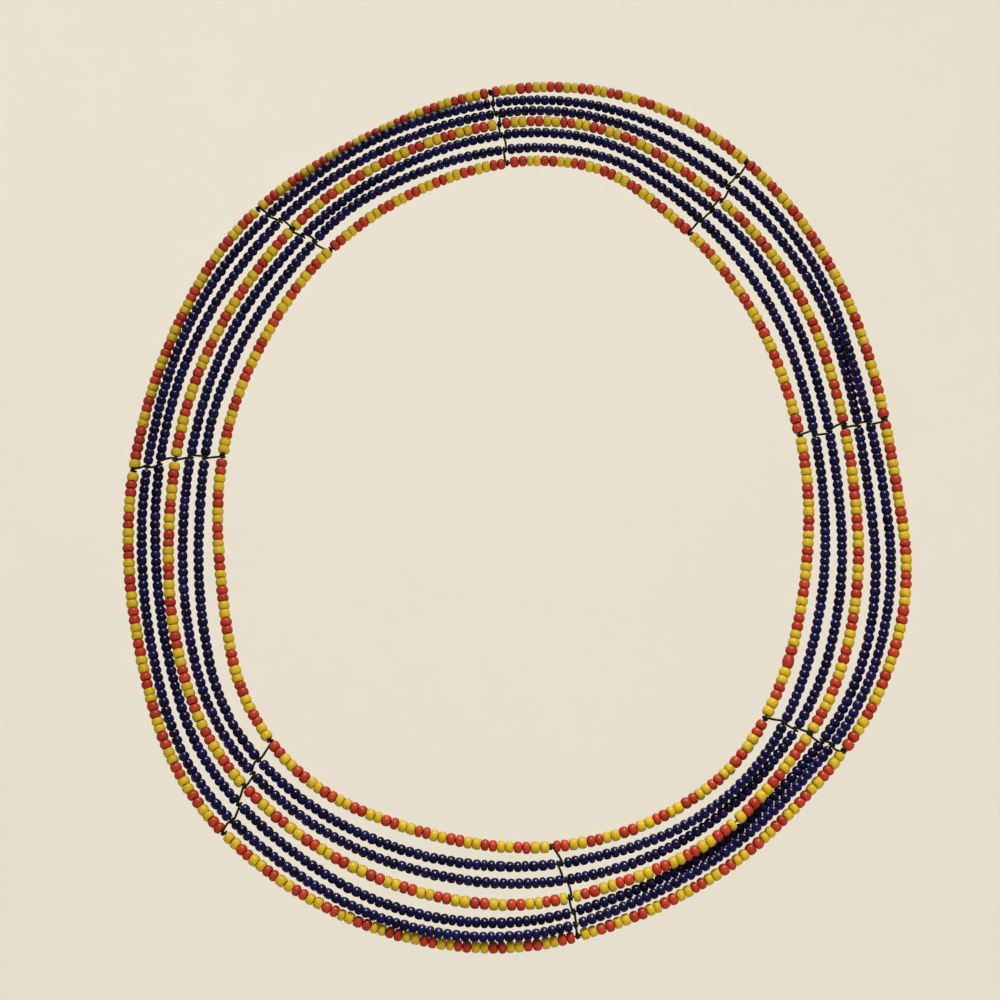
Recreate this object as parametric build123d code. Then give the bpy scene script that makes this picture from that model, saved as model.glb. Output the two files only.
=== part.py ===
from build123d import *
from math import cos, radians, sin, sqrt, tan
import os

# A beaded collar: seven rows of glass seed beads, each strung on its own wire ring, with eight black
# threads that run across the band and knot round every wire between two beads.
# Millimetres. Z is up, the face of the collar looks towards -Y and a little upwards, and the origin is
# where the innermost row rests on the back of the neck.

# Beads, wires and thread
bright_bead = 4.2        # outside diameter of the red and yellow beads
navy_bead = 3.8          # outside diameter of the navy beads
bead_hole = 1.1
wire_diameter = 0.8
thread_diameter = 0.6
knot_diameter = 2.0
knot_hole = 1.0          # leaves the wire 0.1 clear all round
tie_gap = 2.0            # room between the beads on both sides of a thread
row_clearance = 0.5      # room between the beads of two rows that crowd each other

# The hang of the collar
lean = 18                # degrees that the band leans back from upright
nape_height = 146.5      # from the middle of the opening up to the origin, along the band
arc_share = 0.45         # part of the shorter run that a corner's arc takes at each end

# Outermost row first. The edges and the middle row are bright, the rest navy.
bead_diameters = [bright_bead, navy_bead, navy_bead, bright_bead, navy_bead, navy_bead, bright_bead]
row_count = len(bead_diameters)

# Where the eight threads cross the band, in degrees clockwise from the top
ties = [
    # row 1, row 2, row 3, row 4, row 5, row 6, row 7
    (30.7, 30.6, 30.2, 30.5, 29.9, 29.3, 28.8),
    (72.4, 72.2, 72.0, 71.2, 71.4, 70.9, 70.2),
    (127.0, 127.6, 127.8, 128.2, 128.8, 129.2, 130.6),
    (171.6, 171.6, 171.5, 171.6, 172.0, 172.5, 173.6),
    (221.8, 222.2, 223.2, 224.6, 225.2, 226.2, 227.5),
    (279.6, 280.4, 281.4, 282.5, 283.6, 283.7, 284.7),
    (322.6, 323.0, 324.1, 324.6, 325.4, 326.4, 328.0),
    (356.5, 356.8, 357.2, 357.5, 357.8, 358.2, 358.5),
]
tie_count = len(ties)
stations_per_span = 3

# The corners of the rows' routes: how far each row lies from the middle of the opening at the three
# stations between one thread and the next
stations = [
    # row 1, row 2, row 3, row 4, row 5, row 6, row 7
    (167.0, 161.0, 155.5, 148.5, 144.0, 137.0, 130.0),
    (156.0, 150.0, 146.5, 140.0, 134.0, 128.0, 121.0),
    (146.5, 138.5, 136.5, 131.0, 125.0, 119.5, 113.5),

    (140.5, 136.0, 130.0, 125.5, 119.5, 114.0, 109.0),
    (145.0, 139.0, 133.5, 126.5, 120.5, 114.0, 107.0),
    (145.5, 141.0, 137.0, 130.5, 125.0, 118.5, 112.0),

    (143.5, 139.0, 135.5, 132.0, 127.5, 125.0, 118.5),
    (146.5, 142.0, 138.5, 136.5, 130.5, 127.0, 120.0),
    (149.5, 145.0, 141.0, 137.0, 132.0, 126.0, 120.5),

    (155.5, 152.5, 147.0, 141.0, 133.0, 127.0, 120.0),
    (157.0, 154.0, 148.5, 140.5, 133.5, 128.0, 119.5),
    (156.5, 151.0, 145.5, 139.5, 134.0, 129.0, 123.0),

    (155.0, 150.5, 144.0, 138.5, 133.5, 128.5, 119.5),
    (145.5, 141.0, 135.5, 131.5, 126.0, 120.0, 111.0),
    (144.0, 139.0, 134.0, 128.5, 123.5, 117.5, 111.5),

    (145.5, 140.5, 137.5, 132.0, 126.5, 122.0, 115.5),
    (150.5, 146.5, 142.5, 136.5, 132.0, 126.5, 120.0),
    (159.0, 154.0, 149.0, 143.0, 138.5, 133.0, 128.0),

    (163.5, 158.5, 155.5, 150.5, 145.5, 141.5, 134.5),
    (167.0, 164.0, 160.5, 155.5, 151.0, 146.0, 139.5),
    (174.0, 169.5, 165.5, 161.0, 156.5, 150.5, 144.5),

    (179.5, 174.0, 169.5, 165.0, 160.0, 153.5, 148.0),
    (180.5, 173.5, 168.5, 164.0, 159.0, 153.0, 147.5),
    (176.0, 168.5, 162.0, 156.0, 150.5, 145.5, 138.5),
]

band_face = Vector(0, -cos(radians(lean)), sin(radians(lean)))
band_up = Vector(0, sin(radians(lean)), cos(radians(lean)))


def tie_angle(tie, row):
    """Where a thread crosses a row, in degrees that keep growing after the last thread."""
    turns, place = divmod(tie, tie_count)
    return ties[place][row] + 360 * turns


def lift(station, row):
    """How far a row stands forward: every second row does, where its neighbours crowd it."""
    if row % 2 == 0:
        return 0
    needed = 0
    for neighbour in (row - 1, row + 1):
        reach = (bead_diameters[row] + bead_diameters[neighbour]) / 2 + row_clearance
        spacing = abs(stations[station][row] - stations[station][neighbour])
        if spacing < reach:
            needed = max(needed, sqrt(reach ** 2 - spacing ** 2))
    return needed


def corner(station, row):
    """One corner of a row's route."""
    span, place = divmod(station, stations_per_span)
    start, end = tie_angle(span, row), tie_angle(span + 1, row)
    angle = radians(start + (end - start) * (place + 0.5) / stations_per_span)
    station %= len(stations)
    radius = stations[station][row]
    across = Vector(radius * sin(angle), 0, 0)
    height = radius * cos(angle) - nape_height
    return across + band_up * height + band_face * lift(station, row)


def tie_point(tie, row):
    """Where a thread meets a row's wire: the middle of the run between two stations."""
    station = tie * stations_per_span
    return (corner(station - 1, row) + corner(station, row)) / 2


def span_path(tie, row):
    """A row's route from one thread to the next: straight runs joined by tangent arcs."""
    first = tie * stations_per_span
    corners = [corner(first + step, row) for step in range(stations_per_span)]
    before, after = corner(first - 1, row), corner(first + stations_per_span, row)
    around = [before] + corners + [after]
    radii = []
    for k in range(1, len(around) - 1):
        run_in, run_out = around[k] - around[k - 1], around[k + 1] - around[k]
        shorter = min(run_in.length, run_out.length)
        radii.append(arc_share * shorter / tan(radians(run_in.get_angle(run_out) / 2)))
    points = [tie_point(tie, row)] + corners + [tie_point(tie + 1, row)]
    return FilletPolyline(*points, radius=radii), radii


def swept(path, section):
    """The section carried along a path."""
    return sweep(Plane(origin=path @ 0, z_dir=path % 0) * section, path=path)


def thread_slot(tie, row):
    """The room that a thread takes between two beads of a row."""
    ahead, behind = min(row + 1, row_count - 1), max(row - 1, 0)
    along = tie_point(tie, ahead) - tie_point(tie, behind)
    place = Plane(origin=tie_point(tie, row), x_dir=along, z_dir=band_face)
    return place * Box(3 * bright_bead, tie_gap, 3 * bright_bead)


def bead_row(row):
    """The beads of one row, in eight strings from thread to thread, with the hole for the wire."""
    ring = Circle(bead_diameters[row] / 2) - Circle(bead_hole / 2)
    strings = []
    for tie in range(tie_count):
        path, radii = span_path(tie, row)
        string = swept(path, ring)
        print(f"row {row + 1} string {tie + 1}: length {path.length:.1f}",
              f"radii {[round(radius) for radius in radii]}",
              f"volume against section x length {string.volume / (ring.area * path.length):.4f}")
        string = string - thread_slot(tie, row) - thread_slot(tie + 1, row)
        strings.append(string.solid())
    return Compound(children=strings)


def wire_ring(row):
    """The wire that carries one row, one closed ring."""
    section = Circle(wire_diameter / 2)
    lengths = [swept(span_path(tie, row)[0], section) for tie in range(tie_count)]
    return Part() + lengths


def knot(tie, row):
    """A round knot with its hole along the wire."""
    along = corner(tie * stations_per_span, row) - tie_point(tie, row)
    ball = Sphere(knot_diameter / 2) - Cylinder(knot_hole / 2, knot_diameter)
    return Plane(origin=tie_point(tie, row), z_dir=along) * ball


def thread_run(start, end):
    """The thread between two knots, let into the wall of both."""
    run = end - start
    length = run.length - (knot_diameter + knot_hole) / 2
    return Plane(origin=(start + end) / 2, z_dir=run) * Cylinder(thread_diameter / 2, length)


def thread_tie(tie):
    """One thread across the band, with a knot round each wire."""
    points = [tie_point(tie, row) for row in range(row_count)]
    runs = [thread_run(start, end) for start, end in zip(points, points[1:])]
    return Part() + [knot(tie, row) for row in range(row_count)] + runs


os.makedirs("parts", exist_ok=True)
for row in range(row_count):
    export_step(bead_row(row), f"parts/bead_row_{row + 1}.step")
    export_step(wire_ring(row), f"parts/wire_ring_{row + 1}.step")
for tie in range(tie_count):
    export_step(thread_tie(tie), f"parts/thread_tie_{tie + 1}.step")
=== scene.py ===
import bpy
import bmesh
import numpy as np
from math import cos, pi, radians, sin, sqrt
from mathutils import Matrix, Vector
from random import Random


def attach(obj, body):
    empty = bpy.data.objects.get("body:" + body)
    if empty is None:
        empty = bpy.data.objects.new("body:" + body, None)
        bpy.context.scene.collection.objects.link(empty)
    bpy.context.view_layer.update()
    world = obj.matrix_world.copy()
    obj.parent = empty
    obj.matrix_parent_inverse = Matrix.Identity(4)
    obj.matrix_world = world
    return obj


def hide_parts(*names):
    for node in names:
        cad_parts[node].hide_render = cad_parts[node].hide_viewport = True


# A beaded collar: seven wire rings of glass seed beads, and eight black threads knotted across them.
# Lengths in the tables are millimetres, and mm turns them into Blender's metres.
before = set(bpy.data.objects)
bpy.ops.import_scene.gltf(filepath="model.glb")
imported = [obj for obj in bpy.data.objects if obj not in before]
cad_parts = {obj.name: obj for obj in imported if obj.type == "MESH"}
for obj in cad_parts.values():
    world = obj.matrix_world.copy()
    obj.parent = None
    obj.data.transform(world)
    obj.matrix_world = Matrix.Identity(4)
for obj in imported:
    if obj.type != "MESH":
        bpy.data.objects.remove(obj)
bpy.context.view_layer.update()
mm = 0.001

collar = {
    'lean': 18,                 # degrees that the band leans back from upright
    'napeHeight': 146.5,        # from the middle of the opening up to the origin, along the band
    'rowClearance': 0.5,        # room between the beads of two rows that crowd each other
    'routeSteps': 24,           # points of a route from one corner to the next
    'beadDiameters': [4.2, 3.8, 3.8, 4.2, 3.8, 3.8, 4.2],   # outermost row first
    # where each thread crosses rows 1 to 7, in degrees clockwise from the top
    'ties': [
        (30.7, 30.6, 30.2, 30.5, 29.9, 29.3, 28.8),
        (72.4, 72.2, 72.0, 71.2, 71.4, 70.9, 70.2),
        (127.0, 127.6, 127.8, 128.2, 128.8, 129.2, 130.6),
        (171.6, 171.6, 171.5, 171.6, 172.0, 172.5, 173.6),
        (221.8, 222.2, 223.2, 224.6, 225.2, 226.2, 227.5),
        (279.6, 280.4, 281.4, 282.5, 283.6, 283.7, 284.7),
        (322.6, 323.0, 324.1, 324.6, 325.4, 326.4, 328.0),
        (356.5, 356.8, 357.2, 357.5, 357.8, 358.2, 358.5),
    ],
    # how far rows 1 to 7 lie from the middle of the opening, at three stations between two threads
    'stations': [
        (167.0, 161.0, 155.5, 148.5, 144.0, 137.0, 130.0),
        (156.0, 150.0, 146.5, 140.0, 134.0, 128.0, 121.0),
        (146.5, 138.5, 136.5, 131.0, 125.0, 119.5, 113.5),

        (140.5, 136.0, 130.0, 125.5, 119.5, 114.0, 109.0),
        (145.0, 139.0, 133.5, 126.5, 120.5, 114.0, 107.0),
        (145.5, 141.0, 137.0, 130.5, 125.0, 118.5, 112.0),

        (143.5, 139.0, 135.5, 132.0, 127.5, 125.0, 118.5),
        (146.5, 142.0, 138.5, 136.5, 130.5, 127.0, 120.0),
        (149.5, 145.0, 141.0, 137.0, 132.0, 126.0, 120.5),

        (155.5, 152.5, 147.0, 141.0, 133.0, 127.0, 120.0),
        (157.0, 154.0, 148.5, 140.5, 133.5, 128.0, 119.5),
        (156.5, 151.0, 145.5, 139.5, 134.0, 129.0, 123.0),

        (155.0, 150.5, 144.0, 138.5, 133.5, 128.5, 119.5),
        (145.5, 141.0, 135.5, 131.5, 126.0, 120.0, 111.0),
        (144.0, 139.0, 134.0, 128.5, 123.5, 117.5, 111.5),

        (145.5, 140.5, 137.5, 132.0, 126.5, 122.0, 115.5),
        (150.5, 146.5, 142.5, 136.5, 132.0, 126.5, 120.0),
        (159.0, 154.0, 149.0, 143.0, 138.5, 133.0, 128.0),

        (163.5, 158.5, 155.5, 150.5, 145.5, 141.5, 134.5),
        (167.0, 164.0, 160.5, 155.5, 151.0, 146.0, 139.5),
        (174.0, 169.5, 165.5, 161.0, 156.5, 150.5, 144.5),

        (179.5, 174.0, 169.5, 165.0, 160.0, 153.5, 148.0),
        (180.5, 173.5, 168.5, 164.0, 159.0, 153.0, 147.5),
        (176.0, 168.5, 162.0, 156.0, 150.5, 145.5, 138.5),
    ],
}
rowCount = len(collar['beadDiameters'])
tieCount = len(collar['ties'])
stationCount = len(collar['stations'])
perSpan = stationCount // tieCount
bandFace = Vector((0, -cos(radians(collar['lean'])), sin(radians(collar['lean']))))
bandUp = Vector((0, sin(radians(collar['lean'])), cos(radians(collar['lean']))))


def tieAngle(tie, row):
    turns, place = divmod(tie, tieCount)
    return collar['ties'][place][row] + 360 * turns


def lift(station, row):
    # every second row stands forward where its neighbours crowd it
    if row % 2 == 0:
        return 0
    radii = collar['stations'][station]
    needed = 0
    for neighbour in (row - 1, row + 1):
        reach = (collar['beadDiameters'][row] + collar['beadDiameters'][neighbour]) / 2
        reach += collar['rowClearance']
        spacing = abs(radii[row] - radii[neighbour])
        if spacing < reach:
            needed = max(needed, sqrt(reach ** 2 - spacing ** 2))
    return needed


def corner(station, row):
    span, place = divmod(station, perSpan)
    start, end = tieAngle(span, row), tieAngle(span + 1, row)
    angle = radians(start + (end - start) * (place + 0.5) / perSpan)
    station %= stationCount
    radius = collar['stations'][station][row]
    across = Vector((radius * sin(angle), 0, 0))
    height = radius * cos(angle) - collar['napeHeight']
    return (across + bandUp * height + bandFace * lift(station, row)) * mm


def tiePoint(tie, row):
    # where a thread meets a row's wire: the middle of the run between two stations
    return (corner(tie * perSpan - 1, row) + corner(tie * perSpan, row)) / 2


def smoothPoints(corners, closed, steps):
    # a NURBS line through the route's corners, read back as points
    curve = bpy.data.curves.new('route', 'CURVE')
    curve.dimensions = '3D'
    curve.resolution_u = steps
    spline = curve.splines.new('NURBS')
    spline.points.add(len(corners) - 1)
    for point, place in zip(spline.points, corners):
        point.co = (*place, 1)
    spline.order_u = 3
    spline.use_cyclic_u = closed
    spline.use_endpoint_u = not closed
    holder = bpy.data.objects.new('route', curve)
    line = bpy.data.meshes.new_from_object(holder)
    points = np.array([v.co for v in line.vertices])
    bpy.data.objects.remove(holder)
    bpy.data.curves.remove(curve)
    bpy.data.meshes.remove(line)
    return points


class Route:
    # a line that can be asked for its place and direction at any distance along it
    def __init__(self, points):
        steps = np.linalg.norm(np.diff(points, axis=0), axis=1)
        self.points = points
        self.marks = np.concatenate([[0], np.cumsum(steps)])

    def at(self, distance):
        return np.array([np.interp(distance, self.marks, self.points[:, k]) for k in range(3)]).T

    def direction(self, distance):
        step = 0.4 * mm
        ahead = self.at(distance + step) - self.at(distance - step)
        return ahead / np.linalg.norm(ahead, axis=-1, keepdims=True)


def rowRoute(row):
    # twice round, so that the span over the seam needs no special care; with the distance of each thread
    corners = [corner(station, row) for station in range(stationCount)]
    loop = smoothPoints(corners, True, collar['routeSteps'])
    route = Route(np.concatenate([loop, loop, loop[:1]]))
    marks = []
    for tie in range(tieCount):
        away = np.linalg.norm(loop - np.array(tiePoint(tie, row)), axis=1)
        marks.append(route.marks[int(np.argmin(away))])
    start = marks[0]
    once = route.marks[len(loop)]
    marks = [start + (mark - start) % once for mark in marks] + [start + once]
    return route, marks


def deselect():
    if bpy.context.object and bpy.context.object.mode != 'OBJECT':
        bpy.ops.object.mode_set(mode='OBJECT')
    bpy.ops.object.select_all(action='DESELECT')


def selectInEdit(kind, test):
    # picks the vertices, edges or faces of the mesh being edited that pass a test
    bpy.ops.mesh.select_mode(type=kind)
    bpy.ops.mesh.select_all(action='DESELECT')
    shape = bmesh.from_edit_mesh(bpy.context.edit_object.data)
    for part in {'VERT': shape.verts, 'EDGE': shape.edges, 'FACE': shape.faces}[kind]:
        if test(part):
            part.select_set(True)
    shape.select_flush_mode()
    bmesh.update_edit_mesh(bpy.context.edit_object.data)


# Shader sums, written as Python
class Sock:
    def __init__(self, tree, socket=None):
        self.tree = tree
        self.socket = socket

    def node(self, kind, settings=None, values=None, output=0):
        made = self.tree.nodes.new(kind)
        for name, setting in (settings or {}).items():
            if name == 'stops':
                while len(made.color_ramp.elements) < len(setting):
                    made.color_ramp.elements.new(0.5)
                for element, (place, colour) in zip(made.color_ramp.elements, setting):
                    element.position = place
                    element.color = colour
            else:
                setattr(made, name, setting)
        for name, value in (values or {}).items():
            if isinstance(value, Sock):
                self.tree.links.new(value.socket, made.inputs[name])
            else:
                made.inputs[name].default_value = value
        return Sock(self.tree, made.outputs[output] if made.outputs else None)

    def maths(self, operation, first, second):
        return self.node('ShaderNodeMath', {'operation': operation}, {0: first, 1: second})

    def __add__(self, other):
        return self.maths('ADD', self, other)

    __radd__ = __add__

    def __sub__(self, other):
        return self.maths('SUBTRACT', self, other)

    def __rsub__(self, other):
        return self.maths('SUBTRACT', other, self)

    def __mul__(self, other):
        return self.maths('MULTIPLY', self, other)

    __rmul__ = __mul__

    def __pow__(self, other):
        return self.maths('POWER', self, other)

    def __rpow__(self, other):
        return self.maths('POWER', other, self)

    def clamp(self):
        return self.node('ShaderNodeClamp', {}, {0: self})

    def mix(self, first, second):
        # this value blends from the first colour to the second
        return self.node('ShaderNodeMix', {'data_type': 'RGBA'}, {0: self, 6: first, 7: second}, 2)


def attribute(start, name):
    return start.node('ShaderNodeAttribute', {'attribute_name': name}, {}, 2)


def noise(start, place, scale, detail=2.0, roughness=0.5):
    return start.node('ShaderNodeTexNoise', {},
                      {'Vector': place, 'Scale': scale, 'Detail': detail, 'Roughness': roughness})


def objectPlace(start):
    return start.node('ShaderNodeTexCoord', {}, {}, 3)


def bump(start, strength, distance, height):
    return start.node('ShaderNodeBump', {},
                      {'Strength': strength, 'Distance': distance * mm, 'Height': height})


def material(name, build, constants):
    # its changing values come from build, and its constants sit on the shader's own sockets
    made = bpy.data.materials.new(name)
    made.use_nodes = True
    made.node_tree.nodes.clear()
    start = Sock(made.node_tree)
    values = {**constants, **build(start)}
    shader = start.node('ShaderNodeBsdfPrincipled', {}, values)
    start.node('ShaderNodeOutputMaterial', {}, {'Surface': shader})
    return made


glass = {
    'red': (0.46, 0.045, 0.015, 1),
    'deepRed': (0.30, 0.017, 0.008, 1),
    'yellow': (0.56, 0.385, 0.008, 1),
    'deepYellow': (0.49, 0.325, 0.006, 1),
    'navy': (0.009, 0.009, 0.074, 1),
    'deepNavy': (0.003, 0.003, 0.018, 1),
    # dark brown at the bead ends: dust, and painted shade where one bead meets the next
    'dustAndShade': (0.035, 0.024, 0.015, 1),
    'dustAndShadePower': 9,                # the higher, the closer the dust and painted shade keep to the bead's ends
    'dustRoughness': 0.3,
    'streakScale': 5.5,
    'streakStretch': (1, 1, 0.18),  # streaks are long along the hole
    'pitScale': 16.0,
    'pitDepth': 0.3,                # against the streaks
    'bumpDistance': 0.05,
    'brightBump': 0.05,
    'navyBump': 0.15,
    'brightRoughness': 0.31,
    'navyRoughness': 0.20,
}


def streaks(start):
    # drawn glass: fine streaks that run along the hole, on the bead's own coordinates
    place = start.node('ShaderNodeAttribute', {'attribute_name': 'beadSpace'}, {}, 1)
    stretched = start.node('ShaderNodeMapping', {}, {'Vector': place, 'Scale': glass['streakStretch']})
    return place, noise(start, stretched, glass['streakScale'], 3.0, 0.6)


def endDustAndShade(start, amount):
    # darkens each bead towards its ends: partly dust, partly painted shade in the notch between beads
    return (attribute(start, 'nearEnd') ** glass['dustAndShadePower'] * amount).clamp()


def glassBump(start, place, streak, strength):
    pits = noise(start, place, glass['pitScale'])
    return bump(start, strength, glass['bumpDistance'], streak + pits * glass['pitDepth'])


def brightGlass(start):
    place, streak = streaks(start)
    tone = attribute(start, 'tone')
    redness = attribute(start, 'redness')
    shade = (streak * (0.3 + redness * 0.25) + tone * 0.7 - 0.06).clamp()
    red = shade.mix(glass['deepRed'], glass['red'])
    yellow = shade.mix(glass['deepYellow'], glass['yellow'])
    # painted shade between the beads, with some dust: the ends darken, most on the red beads
    dustAndShade = endDustAndShade(start, 0.02 + streak * 0.10 + redness * 0.25)
    duller = (1 - redness) * 0.13 + dustAndShade * glass['dustRoughness'] + streak * 0.10 - tone * 0.06
    return {'Base Color': dustAndShade.mix(redness.mix(yellow, red), glass['dustAndShade']),
            'Roughness': glass['brightRoughness'] + duller,
            'Normal': glassBump(start, place, streak, glass['brightBump'])}


def navyGlass(start):
    place, streak = streaks(start)
    tone = attribute(start, 'tone')
    shade = (streak * 0.5 + tone * 0.7 - 0.1).clamp()
    # painted shade between the beads, with some dust: the ends of each navy bead darken
    dustAndShade = endDustAndShade(start, 0.25 + streak * 0.5)
    duller = dustAndShade * glass['dustRoughness'] + streak * 0.12 - tone * 0.04
    return {'Base Color': dustAndShade.mix(shade.mix(glass['deepNavy'], glass['navy']), glass['dustAndShade']),
            'Roughness': glass['navyRoughness'] + duller,
            'Normal': glassBump(start, place, streak, glass['navyBump'])}


iron = {
    'clean': (0.11, 0.10, 0.095, 1),
    'rusty': (0.045, 0.022, 0.012, 1),
    'rustScale': 420.0,
    'rustFrom': 0.45,               # where in its noise the rust starts, and where it covers the wire
    'rustTo': 0.70,
    'drawnScale': 2600.0,           # the marks that drawing left on the wire
    'roughness': 0.34,
}


def ringWire(start):
    # dull iron wire, brown where it has started to rust
    place = objectPlace(start)
    stops = [(iron['rustFrom'], (0, 0, 0, 1)), (iron['rustTo'], (1, 1, 1, 1))]
    patches = noise(start, place, iron['rustScale'], 4.0)
    rust = start.node('ShaderNodeValToRGB', {'stops': stops}, {'Fac': patches})
    drawn = noise(start, place, iron['drawnScale'])
    return {'Base Color': rust.mix(iron['clean'], iron['rusty']),
            'Roughness': iron['roughness'] + rust * 0.35 + drawn * 0.1,
            'Metallic': 1 - rust * 0.85,
            'Normal': bump(start, 0.4, 0.03, drawn + rust * 0.6)}


yarn = {
    'dark': (0.004, 0.003, 0.002, 1),
    'worn': (0.024, 0.016, 0.009, 1),
    'fibreScale': 6500.0,
    'wearScale': 300.0,
    'roughness': 0.62,
}


def blackThread(start):
    place = objectPlace(start)
    fibre = noise(start, place, yarn['fibreScale'], 3.0, 0.65)
    wear = noise(start, place, yarn['wearScale'])
    return {'Base Color': (fibre * 0.7 + wear * 0.6 - 0.2).clamp().mix(yarn['dark'], yarn['worn']),
            'Roughness': yarn['roughness'] + fibre * 0.25,
            'Normal': bump(start, 0.6, 0.04, fibre)}


brightMat = material('bright_glass', brightGlass, {'Specular IOR Level': 0.34})
navyMat = material('navy_glass', navyGlass, {'Specular IOR Level': 0.65})
wireMat = material('ring_wire', ringWire, {})
threadMat = material('black_thread', blackThread, {'Specular IOR Level': 0.25})
print('materials made')

# One bead of each make, with radius 1 and half length 1, drilled along Z
beadShapes = {
    # distance from the middle and radius of the belly, the shoulder and the hole's rim
    'red': [(0.28, 1.0), (0.84, 0.80), (1.0, 0.34)],
    'yellow': [(0.30, 1.0), (0.86, 0.84), (1.0, 0.34)],
    'navy': [(0.28, 1.0), (0.85, 0.78), (1.0, 0.36)],
}
beadMesh = {'sides': 10, 'rings': 7, 'tolerance': 0.01}


def modelBead(name):
    near = beadMesh['tolerance']
    deselect()
    bpy.ops.mesh.primitive_uv_sphere_add(segments=beadMesh['sides'], ring_count=beadMesh['rings'],
                                         radius=1)
    bead = bpy.context.object
    bead.name = name
    bpy.ops.object.mode_set(mode='EDIT')
    selectInEdit('VERT', lambda v: abs(v.co.z) > 1 - near)
    bpy.ops.mesh.delete(type='VERT')
    # each pair of the sphere's rings goes to its place on the profile, and the hole joins the last pair
    step = pi / beadMesh['rings']
    for ring, (height, radius) in enumerate(beadShapes[name]):
        oldHeight, oldRadius = sin((ring + 0.5) * step), cos((ring + 0.5) * step)
        wider = radius / oldRadius
        for side in (-1, 1):
            selectInEdit('VERT', lambda v: abs(v.co.z - side * oldHeight) < near
                         and abs(v.co.xy.length - oldRadius) < near)
            bpy.ops.transform.resize(value=(wider, wider, 1), center_override=(0, 0, 0))
            bpy.ops.transform.translate(value=(0, 0, side * (height - oldHeight)))
    selectInEdit('EDGE', lambda e: e.is_boundary)
    bpy.ops.mesh.bridge_edge_loops()
    bpy.ops.mesh.select_all(action='SELECT')
    bpy.ops.mesh.normals_make_consistent(inside=False)
    bpy.ops.object.mode_set(mode='OBJECT')
    return bead


beads = {name: modelBead(name) for name in beadShapes}
print('beads modelled')

# The strings: how many beads lie between one thread and the next, and where the colours start
strings = {
    'counts': [
        (37, 41, 38, 44, 47, 38, 34, 35),
        (37, 43, 38, 44, 46, 37, 33, 34),
        (34, 40, 37, 44, 45, 34, 31, 32),
        (31, 38, 32, 39, 41, 32, 28, 29),
        (34, 38, 35, 41, 41, 32, 29, 30),
        (32, 38, 34, 39, 38, 32, 28, 28),
        (28, 34, 30, 36, 36, 30, 26, 26),
    ],
    # the first bead's place in the pattern red, red, yellow, yellow
    'starts': {0: (0, 1, 2, 0, 0, 3, 3, 1), 3: (2, 1, 3, 3, 2, 3, 3, 1), 6: (2, 2, 0, 2, 2, 2, 0, 0)},
    'slips': {(0, 5): (3, 2)},       # row, span: from this bead on the pattern is this many beads late
    # row, span, bead: length and diameter against an ordinary bead
    'odd': {(6, 1, 27): (1.60, 1.03), (2, 0, 14): (1.55, 0.98), (3, 0, 27): (1.3, 0.96)},
    'spaces': {(3, 2, 12): 1.2},     # bare wire before the bead
    # row, span: how far the beads have crept clockwise at the three middle marks of the way along
    'creep': {
        (0, 0): (-0.6, -0.5, -0.8), (0, 1): (-1.7, -2.3, -1.0), (0, 2): (1.2, 0.8, 0.5),
        (0, 4): (0.0, -0.7, -0.4), (0, 5): (1.3, 1.1, 0.9), (3, 0): (0.7, -0.2, -0.8),
        (3, 1): (-1.2, -1.3, -0.9), (3, 2): (1.3, 0.8, 0.2), (3, 3): (-1.4, -2.0, -1.3),
        (3, 4): (-0.7, -1.0, 0.3), (3, 5): (-0.8, -0.7, -0.2), (6, 0): (-1.5, -1.6, -1.8),
        (6, 1): (-0.8, -2.0, -1.6), (6, 2): (1.8, 1.4, 0.5), (6, 4): (0.0, -0.4, -0.4),
        (6, 5): (-0.8, -0.9, -0.9),
    },
    # room between the beads at each thread, rows 1 to 7
    'gaps': [
        (1.5, 2.8, 2.2, 2.2, 1.9, 1.7, 2.0),
        (1.7, 1.4, 1.8, 3.0, 1.7, 3.0, 2.0),
        (2.0, 2.4, 1.9, 2.2, 2.6, 1.9, 2.3),
        (2.3, 2.6, 2.3, 2.3, 1.5, 3.1, 1.5),
        (2.2, 1.8, 2.5, 2.0, 2.4, 2.1, 1.8),
        (1.9, 2.3, 2.1, 2.6, 1.7, 2.2, 2.4),
        (2.1, 1.7, 2.4, 1.9, 2.2, 2.5, 1.8),
        (1.8, 2.2, 2.0, 2.3, 1.9, 2.1, 2.0),
    ],
    'creepMarks': (0, 0.2, 0.5, 0.8, 1),
    # beads differ in length, diameter, place, tilt and in their part of the glass's pattern
    'lengthSpread': 0.08,
    'meanDiameter': 1.018,
    'diameterSpread': 0.025,
    'largest': 1.035,
    'offset': 0.08,
    'tilt': 3.0,
    'patternSpread': 30,
    'patternLength': 0.8,
    'seed': 11,
}


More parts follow.
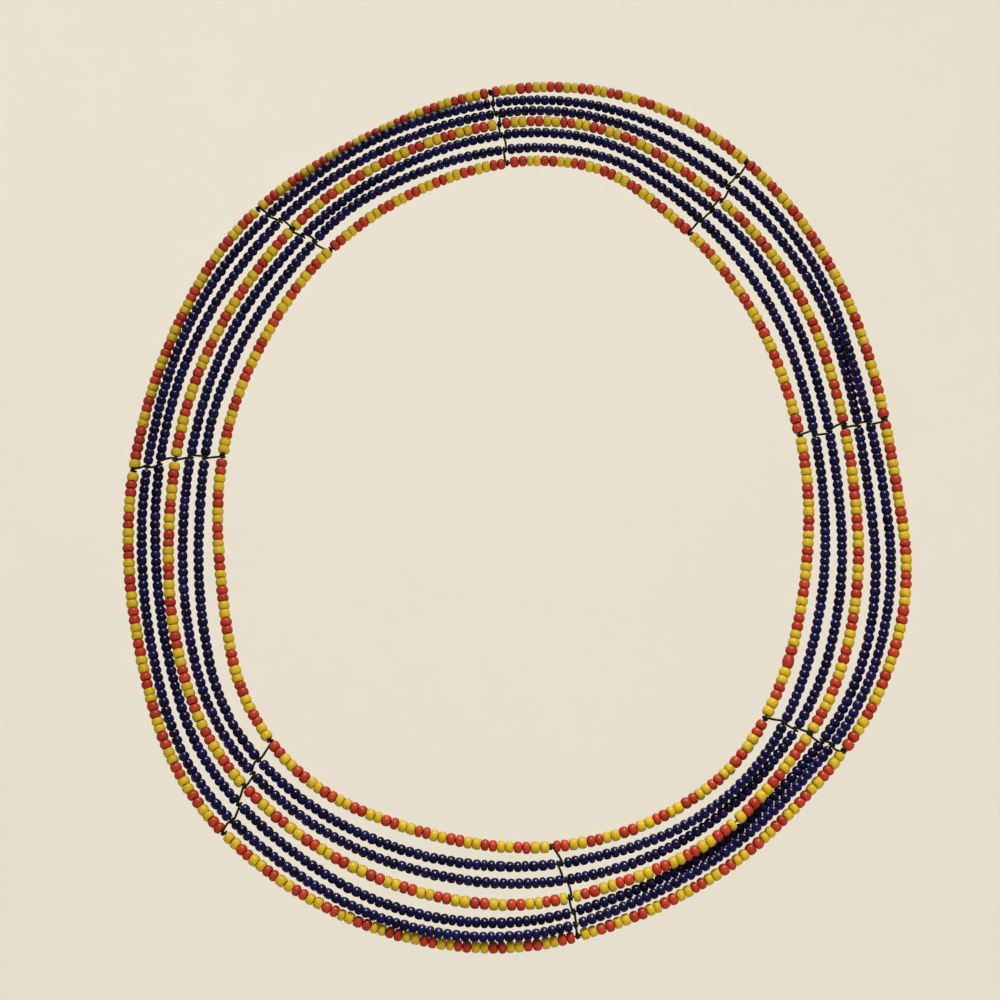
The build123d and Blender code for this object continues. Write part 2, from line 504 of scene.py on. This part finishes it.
def stringOf(row, span, route, marks, draw):
    # the beads of one span: the place, half length, radius and redness of each
    count = strings['counts'][row][span]
    begin = marks[span] + strings['gaps'][span][row] * mm / 2
    end = marks[span + 1] - strings['gaps'][(span + 1) % tieCount][row] * mm / 2
    starts = strings['starts'].get(row)
    slipFrom, slip = strings['slips'].get((row, span), (count, 0))
    made = []
    for place in range(count):
        longer, wider = strings['odd'].get((row, span, place), (1, 1))
        length = longer * (1 + draw.gauss(0, strings['lengthSpread']))
        wide = wider * min(strings['largest'],
                           strings['meanDiameter'] + draw.gauss(0, strings['diameterSpread']))
        late = slip if place >= slipFrom else 0
        red = 1 if starts and (place + starts[span] - late) % 4 < 2 else 0
        space = strings['spaces'].get((row, span, place), 0) * mm
        made.append([length, wide, red, space])
    made = np.array(made)
    lengths = made[:, 0] * (end - begin - made[:, 3].sum()) / made[:, 0].sum()
    joints = begin + np.concatenate([[0], np.cumsum(lengths + made[:, 3])])
    creep = (0, *strings['creep'].get((row, span), (0, 0, 0)), 0)
    creepMarks = begin + (end - begin) * np.array(strings['creepMarks'])
    joints += np.interp(joints, creepMarks, np.array(creep) * mm)
    lengths = np.diff(joints) - made[:, 3]
    middles = joints[1:] - lengths / 2
    radii = made[:, 1] * collar['beadDiameters'][row] * mm / 2
    return middles, lengths / 2, radii, made[:, 2]


def addAttribute(mesh, name, kind, field, values):
    made = mesh.attributes.new(name, kind, 'POINT')
    made.data.foreach_set(field, np.asarray(values, dtype=np.float32))


def beadRow(row):
    bright = row in strings['starts']
    faces = np.array([f.vertices[:] for f in beads['navy'].data.polygons])
    shapes = {name: np.array([v.co for v in bead.data.vertices]) for name, bead in beads.items()}
    route, marks = rowRoute(row)
    draw = Random(strings['seed'] + row)
    spans = [stringOf(row, span, route, marks, draw) for span in range(tieCount)]
    middles, halves, radii, reds = [np.concatenate(parts) for parts in zip(*spans)]
    count = len(middles)
    if bright:
        corners = np.where(reds[:, None, None] > 0.5, shapes['red'], shapes['yellow'])
    else:
        corners = np.repeat(shapes['navy'][None], count, axis=0)
    spread = radians(strings['tilt'])
    tilt = np.array([[draw.gauss(0, spread) for axis in range(3)] for bead in range(count)])
    along = route.direction(middles) + tilt
    along /= np.linalg.norm(along, axis=1, keepdims=True)
    side = np.cross(along, np.array(bandFace))
    side /= np.linalg.norm(side, axis=1, keepdims=True)
    front = np.cross(side, along)
    turns = np.array([draw.uniform(0, 2 * pi) for bead in range(count)])[:, None]
    first = side * np.cos(turns) + front * np.sin(turns)
    second = front * np.cos(turns) - side * np.sin(turns)
    shift = np.array([[draw.uniform(-1, 1) for axis in range(2)] for bead in range(count)])
    shift *= strings['offset'] * mm
    centres = route.at(middles) + side * shift[:, :1] + front * shift[:, 1:]
    places = (centres[:, None]
              + corners[:, :, 0:1] * first[:, None] * radii[:, None, None]
              + corners[:, :, 1:2] * second[:, None] * radii[:, None, None]
              + corners[:, :, 2:3] * along[:, None] * halves[:, None, None])
    perBead = corners.shape[1]
    numbers = faces[None] + (np.arange(count) * perBead)[:, None, None]
    mesh = bpy.data.meshes.new(f'beads_row_{row + 1}')
    mesh.from_pydata(places.reshape(-1, 3).tolist(), [], numbers.reshape(-1, 4).tolist())
    mesh.update()
    mesh.polygons.foreach_set('use_smooth', [True] * len(mesh.polygons))
    # what the glass reads: the bead's own coordinates, its tone, its colour and nearness to its ends
    tones = np.array([draw.random() for bead in range(count)])
    spread = strings['patternSpread']
    origins = np.array([[draw.uniform(-spread, spread) for axis in range(3)] for bead in range(count)])
    space = origins[:, None] + corners * np.array([1, 1, strings['patternLength']])
    addAttribute(mesh, 'beadSpace', 'FLOAT_VECTOR', 'vector', space.reshape(-1))
    addAttribute(mesh, 'tone', 'FLOAT', 'value', np.repeat(tones, perBead))
    addAttribute(mesh, 'redness', 'FLOAT', 'value', np.repeat(reds, perBead))
    addAttribute(mesh, 'nearEnd', 'FLOAT', 'value', np.abs(corners[:, :, 2]).reshape(-1))
    mesh.materials.append(brightMat if bright else navyMat)
    piece = bpy.data.objects.new(mesh.name, mesh)
    bpy.context.collection.objects.link(piece)
    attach(piece, 'root')
    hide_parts(f'bead_row_{row + 1}')
    return count


total = sum(beadRow(row) for row in range(rowCount))
for bead in beads.values():
    bpy.data.objects.remove(bead)
print(f'{total} beads strung')

# The wires are right as they are and only get their finish
for row in range(rowCount):
    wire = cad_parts[f'wire_ring_{row + 1}']
    wire.data.materials.clear()
    wire.data.materials.append(wireMat)
print('wires finished')

# The threads: each is wound round every wire and runs on to the next one
thread = {
    'diameter': 0.94,
    'plyRadius': 0.37,      # both against the diameter
    'plyOffset': 0.13,
    'wireRadius': 0.4,
    'slack': 1.06,          # how loosely a turn lies round its wire
    'perTurn': 8,           # corners of one turn
    'pitch': 1.0,           # between the turns round a wire
    'squeeze': 0.1,         # how far the turns may press into the beads' room
    'backwards': 0.25,      # share of the knots that are wound the other way
    'bow': 0.6,             # how far the middle of a run between two wires strays
    'forward': 0.45,        # how far it stands in front of them
    'shift': 0.5,           # how far along the turns it leaves them
    'twist': 1.8,           # length in which the two plies turn once round each other
    'tail': 0.9,
    # the corners of the two loose ends: share of the tail, distance forward, share of the turns' width
    'firstTail': [(1.0, 0.7, -0.3), (0.5, 1.0, -0.4)],
    'lastTail': [(0.5, 1.0, 0.4), (1.0, 0.6, 0.3)],
    'routeSteps': 6,
    'plyStep': 0.16,        # between two points of a ply
    'seed': 5,
}


def tailCorners(corners, middle, outward, front, across):
    return [middle + outward * thread['tail'] * reach * mm + front * forward * mm + across * share
            for reach, forward, share in corners]


def threadCorners(tie, draw):
    # the corners of one thread's path, from the outermost wire to the innermost
    around = (thread['wireRadius'] + thread['diameter'] / 2) * thread['slack'] * mm
    made = []
    sense = 1
    for row in range(rowCount):
        middle = tiePoint(tie, row)
        along = (corner(tie * perSpan, row) - middle).normalized()
        front = (bandFace - along * bandFace.dot(along)).normalized()
        inward = front.cross(along)
        if inward.dot(tiePoint(tie, rowCount - 1) - tiePoint(tie, 0)) < 0:
            inward = -inward
        room = strings['gaps'][tie][row] - thread['diameter'] + thread['squeeze']
        turns = max(1, int(room / thread['pitch']))
        across = along * (turns * thread['pitch'] * mm * sense)
        back = -1 if draw.random() < thread['backwards'] else 1
        if row == 0:
            made += tailCorners(thread['firstTail'], middle, -inward, front, across)
        corners = turns * thread['perTurn']
        for step in range(corners + 1):
            angle = pi / 2 - 2 * pi * step / thread['perTurn']
            ring = inward * cos(angle) + front * sin(angle) * back
            made.append(middle + ring * around + across * (step / corners - 0.5))
        if row < rowCount - 1:
            ahead = tiePoint(tie, row + 1)
            bow = Vector([draw.uniform(-thread['bow'], thread['bow']) for axis in range(3)]) * mm
            stand = front * thread['forward'] * mm
            made.append((middle + ahead) / 2 + bow + across * thread['shift'] + stand)
        else:
            made += tailCorners(thread['lastTail'], middle, inward, front, across)
        sense = -sense
    return made


def threadPiece(tie):
    draw = Random(thread['seed'] + tie)
    route = Route(smoothPoints(threadCorners(tie, draw), False, thread['routeSteps']))
    marks = np.arange(0, route.marks[-1], thread['plyStep'] * mm)
    places = route.at(marks)
    along = route.direction(marks)
    side = np.cross(along, np.array(bandFace) + 0.001)      # never quite along a run
    side /= np.linalg.norm(side, axis=1, keepdims=True)
    up = np.cross(side, along)
    curve = bpy.data.curves.new(f'thread_{tie + 1}', 'CURVE')
    curve.dimensions = '3D'
    curve.bevel_depth = thread['diameter'] * thread['plyRadius'] * mm
    curve.bevel_resolution = 1
    curve.use_fill_caps = True
    for ply in range(2):
        turn = (marks / (thread['twist'] * mm) * 2 * pi + ply * pi)[:, None]
        reach = thread['diameter'] * thread['plyOffset'] * mm
        line = places + (side * np.cos(turn) + up * np.sin(turn)) * reach
        spline = curve.splines.new('POLY')
        spline.points.add(len(line) - 1)
        spline.points.foreach_set('co', np.column_stack([line, np.ones(len(line))]).reshape(-1))
        spline.use_smooth = True
    deselect()
    piece = bpy.data.objects.new(curve.name, curve)
    bpy.context.collection.objects.link(piece)
    piece.select_set(True)
    bpy.context.view_layer.objects.active = piece
    bpy.ops.object.convert(target='MESH')
    piece = bpy.context.object
    piece.data.materials.clear()
    piece.data.materials.append(threadMat)
    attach(piece, 'root')
    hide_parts(f'thread_tie_{tie + 1}')


for tie in range(tieCount):
    threadPiece(tie)
print('threads tied')

# A pale floor that rises all round
stage = {
    'floor': -0.90,
    'radius': 1.2,
    'rim': 2.4,
    'height': 2.2,
    'sides': 96,
    'steps': 10,            # rings of the rise, a quarter of an oval
    'smoothTo': 40,         # degrees
    'colour': (0.918, 0.884, 0.797),
    'darker': 0.97,         # what the cloudy shade takes off the colour
}


def paleFloor(start):
    shade = noise(start, objectPlace(start), 3.0, 3.0)
    darker = [stage['darker'] * part for part in stage['colour']]
    return {'Base Color': shade.mix((*stage['colour'], 1), (*darker, 1)), 'Roughness': 0.85 + shade * 0.1}


deselect()
bpy.ops.mesh.primitive_circle_add(vertices=stage['sides'], radius=stage['radius'], fill_type='NGON',
                                  location=(0, 0, stage['floor']))
floor = bpy.context.object
floor.name = 'floor'
bpy.ops.object.mode_set(mode='EDIT')
quarter = pi / 2 / stage['steps']
for step in range(stage['steps']):
    before, after = quarter * step, quarter * (step + 1)
    spread = stage['rim'] - stage['radius']
    wider = (stage['radius'] + spread * sin(after)) / (stage['radius'] + spread * sin(before))
    rise = stage['height'] * (cos(before) - cos(after))
    selectInEdit('EDGE', lambda e: e.is_boundary)
    bpy.ops.mesh.extrude_edges_move()
    bpy.ops.transform.resize(value=(wider, wider, 1), center_override=(0, 0, 0))
    bpy.ops.transform.translate(value=(0, 0, rise))
bpy.ops.object.mode_set(mode='OBJECT')
bpy.ops.object.shade_smooth_by_angle(angle=radians(stage['smoothTo']))
floor.data.materials.append(material('pale_floor', paleFloor, {}))
floor.visible_glossy = False
print('floor laid')

lights = {
    # name: where it stands, what it aims at, its size, spread, power and colour
    'key': ((0.12, -0.62, 0.80), (0.05, -0.045, -0.75), 0.40, 40, 1.05, (1.0, 0.98, 0.95)),
    'wall': ((0, 0.50, 1.10), (0, 1.80, -0.60), 1.0, 180, 11, (1.0, 1.0, 1.0)),
    'fill': ((0.55, -0.75, -0.75), (0.06, -0.045, -0.22), 1.2, 50, 1.6, (1.0, 0.99, 0.97)),
}
daylight = {'colour': (1.0, 0.97, 0.92, 1), 'strength': 0.68}
photoCamera = {'place': (-0.0066, -0.9603, -0.1302), 'lens': 90, 'sensor': 36}

for name, (place, aim, size, spread, power, colour) in lights.items():
    lamp = bpy.data.lights.new(name, 'AREA')
    lamp.shape = 'SQUARE'
    lamp.size = size
    lamp.spread = radians(spread)
    lamp.energy = power
    lamp.color = colour
    holder = bpy.data.objects.new(name, lamp)
    holder.location = place
    holder.rotation_euler = (Vector(aim) - Vector(place)).to_track_quat('-Z', 'Y').to_euler()
    holder.visible_glossy = name != 'fill'      # it lights the beads but leaves no second highlight
    bpy.context.collection.objects.link(holder)

world = bpy.data.worlds.new('studio')
bpy.context.scene.world = world
world.use_nodes = True
world.cycles_visibility.glossy = False      # the beads mirror the lamps alone
background = world.node_tree.nodes['Background']
background.inputs['Color'].default_value = daylight['colour']
background.inputs['Strength'].default_value = daylight['strength']
bpy.context.scene.view_settings.view_transform = 'Standard'

shot = bpy.data.cameras.new('camera')
shot.lens = photoCamera['lens']
shot.sensor_width = photoCamera['sensor']
camera = bpy.data.objects.new('camera', shot)
camera.location = photoCamera['place']
camera.rotation_euler = (radians(90), 0, 0)
bpy.context.collection.objects.link(camera)
bpy.context.scene.camera = camera
print('lights and camera set')
